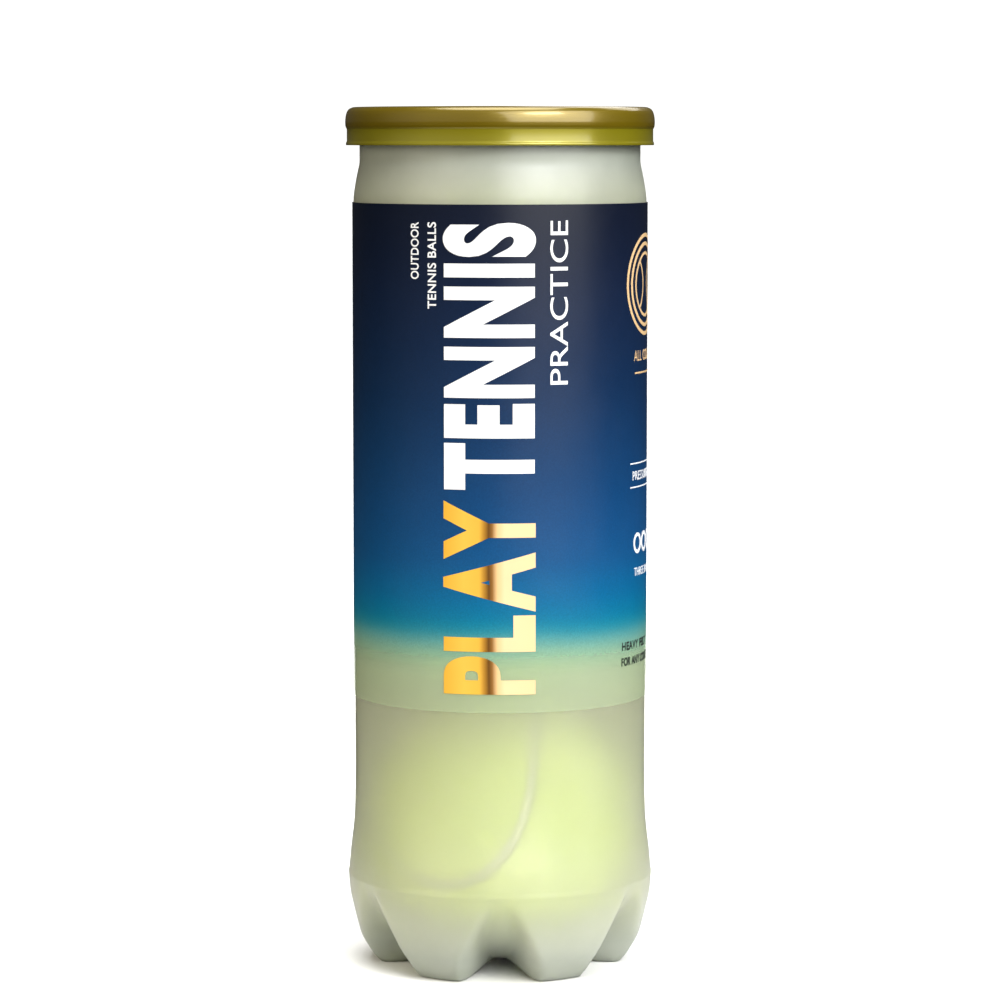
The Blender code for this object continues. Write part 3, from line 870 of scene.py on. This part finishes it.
def seam_points(turn):
    """The seam on a sphere of radius 1, in the axes of the first felt panel."""
    across = SEAM_WIDE * np.cos(turn) - SEAM_NARROW * np.cos(3 * turn)
    along = -SEAM_WIDE * np.sin(turn) - SEAM_NARROW * np.sin(3 * turn)
    return np.stack([across, along, SEAM_RISE * np.cos(2 * turn)], axis=-1)


def seam_sides(turn):
    """Unit vectors on the sphere from the seam into the first felt panel."""
    forward = seam_points(turn + 0.001) - seam_points(turn - 0.001)
    side = np.cross(forward, seam_points(turn))
    return side / np.linalg.norm(side, axis=-1, keepdims=True)


def felt_points(seed):
    """A dog-bone of felt, rounded over at its edge and uneven by the nap."""
    rows, columns = 72, 28
    turn = np.linspace(-np.pi / 2, np.pi / 2, rows + 1)
    edge = seam_points(turn) + SEAM_GAP / 2 / BALL_RADIUS * seam_sides(turn)
    edge /= np.linalg.norm(edge, axis=1, keepdims=True)
    half = np.arcsin(np.maximum(edge[:, 0], 0.0))[:, None]
    length = np.arctan2(edge[:, 1], edge[:, 2])[:, None]
    width = half * np.linspace(-1, 1, columns + 1)
    level = np.cos(width)
    direction = np.stack([np.sin(width), level * np.sin(length), level * np.cos(length)], axis=2)
    seam = seam_points(np.linspace(0, 2 * np.pi, 240, endpoint=False))
    nearest = np.arccos(np.clip(direction @ seam.T, -1, 1)).min(axis=2) * BALL_RADIUS - SEAM_GAP / 2
    fall = np.clip(1.0 - nearest / 1.5, 0.0, 1.0)
    nap = np.random.default_rng(seed).uniform(0.0, 0.16, fall.shape)
    nap[[0, -1]] = 0.08
    return direction * (BALL_RADIUS - nap - 0.9 * fall**2)[:, :, None]


def seam_surface():
    """The rubber seam: a low rounded bead at the bottom of the gap between the felts."""
    turn = np.linspace(0, 2 * np.pi, 240, endpoint=False)
    section = [(31.0, -1.2), (31.45, -0.8), (31.6, 0.0), (31.45, 0.8), (31.0, 1.2), (30.0, 1.2), (30.0, -1.2)]
    points, sides = seam_points(turn), seam_sides(turn)
    rows = [points * radius + sides * shift for radius, shift in section]
    return np.stack(rows, axis=1)


def ball(name, centre_z, turns_deg, felt, seam_rubber, seed):
    place = Matrix.Translation((0.0, 0.0, centre_z * MM))
    place @= Euler([math.radians(angle) for angle in turns_deg]).to_matrix().to_4x4()
    over = Euler((math.pi, 0.0, math.pi / 2)).to_matrix().to_4x4()
    for side, turned_over in (("a", Matrix.Identity(4)), ("b", over)):
        mesh = grid_mesh(f"{name}_nap_{side}", felt_points(seed + ord(side)))
        mesh.transform(place @ turned_over)
        obj = finish_piece(f"{name}_nap_{side}", mesh, felt, name, 80.0)
        thickened(obj, FELT_THICKNESS)
        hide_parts(f"{name}_felt_{side}")
    mesh = grid_mesh(f"{name}_bead", seam_surface(), wrap_rows=True, wrap_columns=True)
    mesh.transform(place)
    obj = finish_piece(f"{name}_bead", mesh, seam_rubber, name, 60.0)
    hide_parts(f"{name}_seam")


def carried_over(material, *nodes):
    """CAD nodes that stay, with a better material."""
    for node in nodes:
        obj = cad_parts[node]
        for material_slot in obj.material_slots:
            material_slot.material = material


# The studio.


def softbox(name, azimuth_deg, elevation_deg, distance, width, height, power):
    """A rectangular light that faces the object, its place given round the target, in metres."""
    light = bpy.data.lights.new(name, "AREA")
    light.shape = "RECTANGLE"
    light.size, light.size_y = width, height
    light.energy = power
    obj = bpy.data.objects.new(name, light)
    azimuth, elevation = math.radians(azimuth_deg), math.radians(elevation_deg)
    level = Vector((math.sin(azimuth), -math.cos(azimuth), 0.0)) * math.cos(elevation)
    away = level + Vector((0.0, 0.0, math.sin(elevation)))
    obj.location = Vector((0.0, 0.0, LIT_HEIGHT)) + away * distance
    obj.rotation_euler = away.to_track_quat("Z", "Y").to_euler()
    bpy.context.scene.collection.objects.link(obj)
    return obj


def seen_directly(tree, seen, otherwise):
    """A number that has one value where the camera sees the backdrop, and another for the light it gives."""
    path = tree.nodes.new("ShaderNodeLightPath")
    choice = tree.nodes.new("ShaderNodeMapRange")
    choice.inputs["To Min"].default_value = otherwise
    choice.inputs["To Max"].default_value = seen
    tree.links.new(path.outputs["Is Camera Ray"], choice.inputs["Value"])
    return choice


def surroundings():
    """A white backdrop in a dim studio. The room gives least light from behind, so edges read dark."""
    world = bpy.data.worlds.new("studio")
    world.use_nodes = True
    tree = world.node_tree
    background = tree.nodes["Background"]
    background.inputs["Color"].default_value = (1.0, 1.0, 1.0, 1.0)
    choice = seen_directly(tree, ROOM_SEEN, ROOM_BEHIND)
    place = tree.nodes.new("ShaderNodeTexCoord")
    split = tree.nodes.new("ShaderNodeSeparateXYZ")
    spread = tree.nodes.new("ShaderNodeMapRange")
    spread.interpolation_type = "SMOOTHSTEP"
    reach = {"From Min": -0.6, "From Max": 0.5, "To Min": ROOM_FRONT, "To Max": ROOM_BEHIND}
    for name, value in reach.items():
        spread.inputs[name].default_value = value
    tree.links.new(place.outputs["Generated"], split.inputs["Vector"])
    tree.links.new(split.outputs["Y"], spread.inputs["Value"])
    tree.links.new(spread.outputs["Result"], choice.inputs["To Min"])
    tree.links.new(choice.outputs["Result"], background.inputs["Strength"])
    bpy.context.scene.world = world
    bpy.context.scene.view_settings.view_transform = "Standard"


def sun(strength, angle_deg):
    """A wide, soft light from straight above, which keeps the floor as pale as the backdrop."""
    light = bpy.data.lights.new("sun", "SUN")
    light.energy = strength
    light.angle = math.radians(angle_deg)
    obj = bpy.data.objects.new("sun", light)
    obj.location = (0.0, 0.0, 3.0)
    bpy.context.scene.collection.objects.link(obj)


def studio():
    surroundings()
    sun(3.4, 50.0)
    bpy.ops.mesh.primitive_circle_add(vertices=96, radius=60.0, fill_type="NGON")
    floor = bpy.context.object
    floor.name = "floor"
    floor.data.materials.append(studio_floor())
    softbox("key", 39.0, 26.5, 1.0, 1.28, 0.8, 14.0)
    softbox("high_key", 34.0, 33.0, 1.1, 0.5, 0.28, 5.0)
    softbox("rear", 150.0, 40.0, 1.2, 0.8, 0.5, 3.0)
    fill = softbox("fill", -56.0, 16.0, 1.0, 1.1, 0.7, 4.8)
    fill.data.color = WARM
    # The fill lights the left side without a reflection of its own.
    fill.visible_glossy = False


def camera():
    """Almost level with the overcap and looking down a little, as far off as a short telephoto lens needs."""
    data = bpy.data.cameras.new("camera")
    data.sensor_width = 36.0
    data.lens = 136.3
    obj = bpy.data.objects.new("camera", data)
    obj.location = (0.0, -0.9339, 0.2049)
    obj.rotation_euler = (math.radians(90.0 - 5.489), 0.0, 0.0)
    bpy.context.scene.collection.objects.link(obj)
    bpy.context.scene.camera = obj


def main():
    camera()
    studio()
    metal = rolled_metal("end_metal", srgb(200, 201, 203), srgb(220, 221, 223), (0.22, 0.32))
    tab_metal = rolled_metal("tab_metal", srgb(210, 211, 213), srgb(226, 226, 228), (0.2, 0.28))
    felt = ball_felt()
    seam_rubber = rubber("seam_rubber", srgb(196, 198, 190), srgb(224, 226, 218), 900.0)
    core_rubber = rubber("core_rubber", srgb(34, 33, 32), srgb(58, 56, 54), 700.0)
    compound = rubber("gasket", srgb(96, 96, 94), srgb(124, 124, 120), 1200.0, (0.5, 0.7))
    white = print_ink("white_ink", srgb(228, 230, 232), srgb(246, 247, 248))
    black = print_ink("black_ink", srgb(14, 16, 18), srgb(28, 30, 32))
    can_wall(frosted_plastic())
    sleeve(printed_film())
    prints(white, gold_foil(), black)
    ring_piece(metal)
    panel_piece(metal)
    rivet_piece(tab_metal)
    tab_piece(tab_metal)
    cap_piece(cap_plastic())
    for i, (name, turns_deg) in enumerate(BALLS):
        ball(name, FIRST_BALL_Z + i * BALL_PITCH, turns_deg, felt, seam_rubber, 10 * i)
        carried_over(core_rubber, f"{name}_core_top", f"{name}_core_bottom")
    carried_over(compound, "seam_compound")


main()
